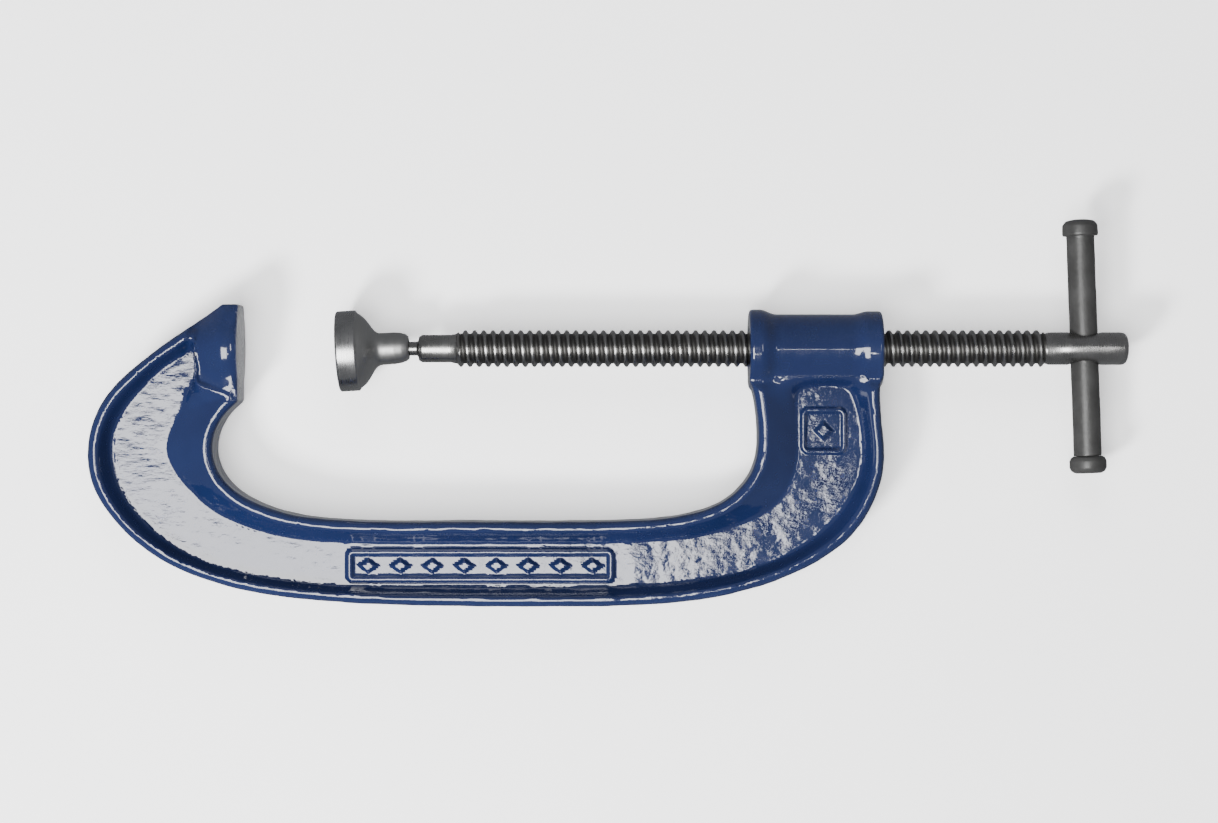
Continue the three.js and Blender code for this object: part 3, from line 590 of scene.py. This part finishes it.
def make_bar(material):
    prof = rounded([(-41.2, 0), (-41.2, 3.3, 0.3), (-36.98, 3.3, 0.1), (-36.98, 4.8, 0.2), (38.0, 4.8, 0), (38.9, 4.85, 0.2), (38.9, 6.0, 0.35),
                    (39.8, 6.15, 0.5), (42.6, 6.05, 1.2), (44.1, 4.9, 1.6), (44.55, 2.4, 1.5), (44.55, 0)], 6)
    dense = []
    for a, b in zip(prof[:-1], prof[1:]):
        n = max(1, int(abs(b[0] - a[0]) / 2.0))
        dense += [tuple(np.array(a) + (np.array(b) - np.array(a)) * k / n) for k in range(n)]
    dense.append(tuple(prof[-1]))
    rings = lathe_rings(dense, 64, lambda x, a, r: (0.025 * math.sin(x * 0.21 + a) + 0.02 * math.sin(x * 0.47 + 2 * a)) if r > 4 and x < 37 else
                        (0.05 * math.sin(3 * a + 1) + 0.03 * math.sin(5 * a) if r > 3.5 and x > 39 else 0.0))
    v, faces = ring_mesh(rings, close_start=False, close_end=False)
    v, faces = merged(v, faces)
    return sharpen(fix_normals(put("sliding_bar", placed(v, bar_matrix()), faces, "bar", ["tommy_bar"], material)), 45)


def make_cap(material):
    prof = rounded([(-43.0, 0), (-43.0, 4.5, 1.6), (-42.3, 5.7, 1.0), (-41.1, 6.35, 1.4), (-38.7, 6.35, 1.0), (-37.6, 5.75, 0.8), (-37.1, 5.0, 0.4),
                    (-37.1, 3.6, 0.15), (-41.5, 3.6, 0.1), (-41.5, 0)], 6)
    rings = lathe_rings(prof, 64, lambda x, a, r: 0.03 * math.sin(4 * a + 2) if r > 4.5 else 0.0)
    v, faces = ring_mesh(rings, close_start=False, close_end=False)
    v, faces = merged(v, faces)
    return sharpen(fix_normals(put("bar_end_cap", placed(v, bar_matrix()), faces, "bar", ["tommy_bar_end_cap"], material)), 45)


# ---------------------------------------------------------------------------------------------
# Materials
# ---------------------------------------------------------------------------------------------
class Nodes:
    def __init__(self, name):
        self.mat = bpy.data.materials.new(name)
        self.mat.use_nodes = True
        self.t = self.mat.node_tree
        self.bsdf = self.t.nodes["Principled BSDF"]
        self.where = self.t.nodes.new("ShaderNodeTexCoord").outputs["Object"]

    def add(self, kind, **inputs):
        n = self.t.nodes.new(kind)
        for k, v in inputs.items():
            if hasattr(n, k):
                setattr(n, k, v)
        return n

    def link(self, a, b):
        self.t.links.new(a, b)

    def scaled(self, sx, sy, sz):
        m = self.add("ShaderNodeMapping")
        m.inputs["Scale"].default_value = (sx, sy, sz)
        self.link(self.where, m.inputs["Vector"])
        return m.outputs["Vector"]

    def noise(self, scale, detail=4.0, rough=0.55, vector=None):
        n = self.add("ShaderNodeTexNoise")
        n.inputs["Scale"].default_value = scale
        n.inputs["Detail"].default_value = detail
        n.inputs["Roughness"].default_value = rough
        self.link(vector or self.where, n.inputs["Vector"])
        return n.outputs["Fac"]

    def ramp(self, fac, stops):
        r = self.add("ShaderNodeValToRGB")
        e = r.color_ramp.elements
        while len(e) < len(stops):
            e.new(0.5)
        for el, (p, c) in zip(e, stops):
            el.position = p
            el.color = (c[0], c[1], c[2], 1) if isinstance(c, (tuple, list)) else (c, c, c, 1)
        self.link(fac, r.inputs["Fac"])
        return r.outputs["Color"]

    def span(self, fac, a0, a1, b0, b1):
        m = self.add("ShaderNodeMapRange")
        for k, v in zip(("From Min", "From Max", "To Min", "To Max"), (a0, a1, b0, b1)):
            m.inputs[k].default_value = v
        self.link(fac, m.inputs["Value"])
        return m.outputs["Result"]

    def math(self, op, a, b):
        m = self.add("ShaderNodeMath", operation=op)
        for i, v in enumerate((a, b)):
            if isinstance(v, (int, float)):
                m.inputs[i].default_value = v
            else:
                self.link(v, m.inputs[i])
        return m.outputs[0]

    def mix(self, fac, a, b):
        m = self.add("ShaderNodeMix", data_type="RGBA")
        if isinstance(fac, (int, float)):
            m.inputs[0].default_value = fac
        else:
            self.link(fac, m.inputs[0])
        for i, v in ((6, a), (7, b)):
            if isinstance(v, (tuple, list)):
                m.inputs[i].default_value = (v[0], v[1], v[2], 1)
            else:
                self.link(v, m.inputs[i])
        return m.outputs[2]

    def attr(self, name):
        n = self.add("ShaderNodeAttribute")
        n.attribute_name = name
        return n.outputs["Fac"]

    def bump(self, height, distance, strength=1.0, after=None):
        b = self.add("ShaderNodeBump")
        b.inputs["Strength"].default_value = strength
        b.inputs["Distance"].default_value = distance
        self.link(height, b.inputs["Height"])
        if after is not None:
            self.link(after, b.inputs["Normal"])
        return b.outputs["Normal"]

    def finish(self, colour, rough, normal, **uniform):
        self.link(colour, self.bsdf.inputs["Base Color"])
        self.link(rough, self.bsdf.inputs["Roughness"])
        self.link(normal, self.bsdf.inputs["Normal"])
        if "Coat_Weight" in uniform:
            self.link(normal, self.bsdf.inputs["Coat Normal"])
        for k, v in uniform.items():
            self.bsdf.inputs[k.replace("_", " ")].default_value = v
        return self.mat


def enamel():
    m = Nodes("blue_enamel")
    web, face = m.attr("web"), m.attr("face")
    broad = m.noise(38, 3)
    colour = m.ramp(broad, [(0.3, (0.0046, 0.0096, 0.0385)), (0.7, (0.0070, 0.0131, 0.0495))])
    # the working face in light grey: bare machined metal, made lighter as a painted reflection of the floor at a
    # grazing angle, mottled a little by noise
    face_mottle = m.span(m.noise(420, 6, 0.7), 0.62, 0.72, 0, 1)
    bare_face_and_painted_reflection = m.math("MULTIPLY", face, m.math("ADD", 0.86, m.math("MULTIPLY", face_mottle, 0.12)))
    colour = m.mix(bare_face_and_painted_reflection, colour, (0.43, 0.43, 0.435))
    rough = m.span(m.noise(240, 5), 0.3, 0.7, 0.16, 0.30)
    ridges = m.noise(1.0, 4, 0.55, m.scaled(260, 820, 500))
    pebble = m.noise(700, 3, 0.5)
    texture = m.math("ADD", m.math("MULTIPLY", ridges, 0.75), m.math("MULTIPLY", pebble, 0.35))
    split = m.add("ShaderNodeSeparateXYZ"); m.link(m.where, split.inputs[0])
    ends = m.math("ADD", m.span(split.outputs[0], 0.075, 0.15, 0, 1), m.span(split.outputs[0], 0.0, -0.035, 0, 0.8))
    patchy = m.math("MULTIPLY", m.span(m.noise(70, 3, 0.6), 0.42, 0.62, 0.25, 1.0), m.math("ADD", 0.25, m.math("MULTIPLY", ends, 0.32)))
    amount = m.math("ADD", 0.05, m.math("MULTIPLY", web, patchy))
    n = m.bump(m.math("MULTIPLY", texture, amount), 0.00042)
    n = m.bump(m.noise(150, 3), 0.00012, 1.0, n)
    return m.finish(colour, rough, n, Coat_Weight=1.0, Coat_Roughness=0.06, Coat_IOR=1.65, Specular_IOR_Level=0.12, IOR=1.5)


def steel(name, light, dark, rough, fine, bump, mask=None, masked=None, darken_by=None, metallic=1.0, turned=True):
    m = Nodes(name)
    patch = m.noise(120, 5, 0.6)
    colour = m.ramp(patch, [(0.3, dark), (0.7, light)])
    lines = m.noise(1.0, 3, 0.6, m.scaled(fine, 60, 60)) if turned else m.noise(fine, 5, 0.6)
    r = m.math("ADD", m.span(patch, 0.3, 0.7, rough - 0.05, rough + 0.07), m.span(lines, 0.3, 0.7, -0.05, 0.05))
    if mask:
        k = m.attr(mask)
        colour = m.mix(k, masked[0], colour)
        r = m.math("ADD", r, m.math("MULTIPLY", m.math("SUBTRACT", 1.0, k), masked[1]))
    if darken_by:
        # colour goes darker and rougher towards the thread's root, by the given attribute
        g = m.span(m.math("ADD", m.attr(darken_by), m.span(patch, 0.3, 0.7, -0.15, 0.15)), 0.45, 1.0, 0, 0.8)
        colour = m.mix(g, colour, (0.03, 0.028, 0.026))
        r = m.math("ADD", r, m.math("MULTIPLY", g, 0.25))
    n = m.bump(lines, bump)
    n = m.bump(m.noise(900, 4), bump * 0.5, 1.0, n)
    return m.finish(colour, r, n, Metallic=metallic)


ENAMEL = enamel()
TURNED = steel("turned_steel", (0.38, 0.376, 0.368), (0.27, 0.267, 0.261), 0.27, 5200, 0.00002, darken_by="root")
PAD = steel("pad_steel", (0.42, 0.42, 0.42), (0.30, 0.30, 0.30), 0.27, 4200, 0.00003, mask="rim", masked=((0.37, 0.37, 0.365), 0.14))
SPRING = steel("spring_steel", (0.30, 0.30, 0.30), (0.22, 0.22, 0.22), 0.32, 900, 0.00002, turned=False)
BLACK = steel("black_steel", (0.062, 0.062, 0.061), (0.040, 0.040, 0.039), 0.37, 1100, 0.00005, turned=False, metallic=0.5)

cast_frame(ENAMEL)
make_screw(TURNED)
make_pad(PAD)
make_ring(SPRING)
make_bar(BLACK)
make_cap(BLACK)

# ---------------------------------------------------------------------------------------------
# Floor, light and camera
# ---------------------------------------------------------------------------------------------
floor_mesh = bpy.data.meshes.new("floor")
fx0, fx1, fy0, fy1 = -3.0, 3.3, -3.0, 3.0
low = lambda y: -0.01412 - 0.0453 * y
floor_mesh.from_pydata([(fx0, fy0, low(fy0)), (fx1, fy0, low(fy0)), (fx1, fy1, low(fy1)), (fx0, fy1, low(fy1))], [], [(0, 1, 2, 3)])
floor_mesh.update()
floor = bpy.data.objects.new("floor", floor_mesh)
bpy.context.scene.collection.objects.link(floor)
fm = Nodes("pale_floor")
fc = fm.ramp(fm.noise(6, 3), [(0.3, (0.86, 0.86, 0.865)), (0.7, (0.88, 0.88, 0.88))])
fm.finish(fc, fm.span(fm.noise(50, 2), 0.3, 0.7, 0.75, 0.85), fm.bump(fm.noise(400, 2), 0.00002))
fm.bsdf.inputs["Emission Color"].default_value = (1, 1, 1, 1)
fm.bsdf.inputs["Emission Strength"].default_value = 0.55     # a light table: softens the shadows a little
floor_mesh.materials.append(fm.mat)
floor.visible_glossy = False      # as over a light table's edge, the sides of the object stay dark


def area(name, centre, size, power, colour=(1, 1, 1), target=None):
    light = bpy.data.lights.new(name, "AREA")
    light.shape = "RECTANGLE"
    light.size, light.size_y = size
    light.energy = power
    light.color = colour
    obj = bpy.data.objects.new(name, light)
    obj.location = centre
    if target is not None:
        obj.rotation_euler = (Vector(target) - Vector(centre)).to_track_quat("-Z", "Y").to_euler()
    bpy.context.scene.collection.objects.link(obj)
    return obj


area("key", (-0.165, -0.367, 1.30), (0.72, 0.81), 27)
area("side", (0.56, 0.05, 1.25), (0.06, 0.45), 1.1)

area("boss_glint", (0.292, -0.39, 1.25), (0.07, 0.06), 0.45)

low_key = area("low_key", (-0.62, -0.80, 1.05), (0.30, 0.30), 46, target=(0.127, -0.02, 0))
low_key.visible_glossy = False

fill = area("fill", (0.10, 0.95, 0.85), (0.8, 0.8), 9, target=(0.127, -0.02, 0))
fill.visible_glossy = False

world = bpy.data.worlds.new("studio")
bpy.context.scene.world = world
world.use_nodes = True
world.node_tree.nodes["Background"].inputs["Color"].default_value = (0.93, 0.95, 1.0, 1)
world.node_tree.nodes["Background"].inputs["Strength"].default_value = 0.25

cam = bpy.data.cameras.new("camera")
cam.lens, cam.sensor_width, cam.sensor_fit = 83.96, 36.0, "HORIZONTAL"
cam.clip_start, cam.clip_end = 0.05, 20.0
camera = bpy.data.objects.new("camera", cam)
camera.location = (0.1267, -0.0217, 0.980)
bpy.context.scene.collection.objects.link(camera)
bpy.context.scene.camera = camera
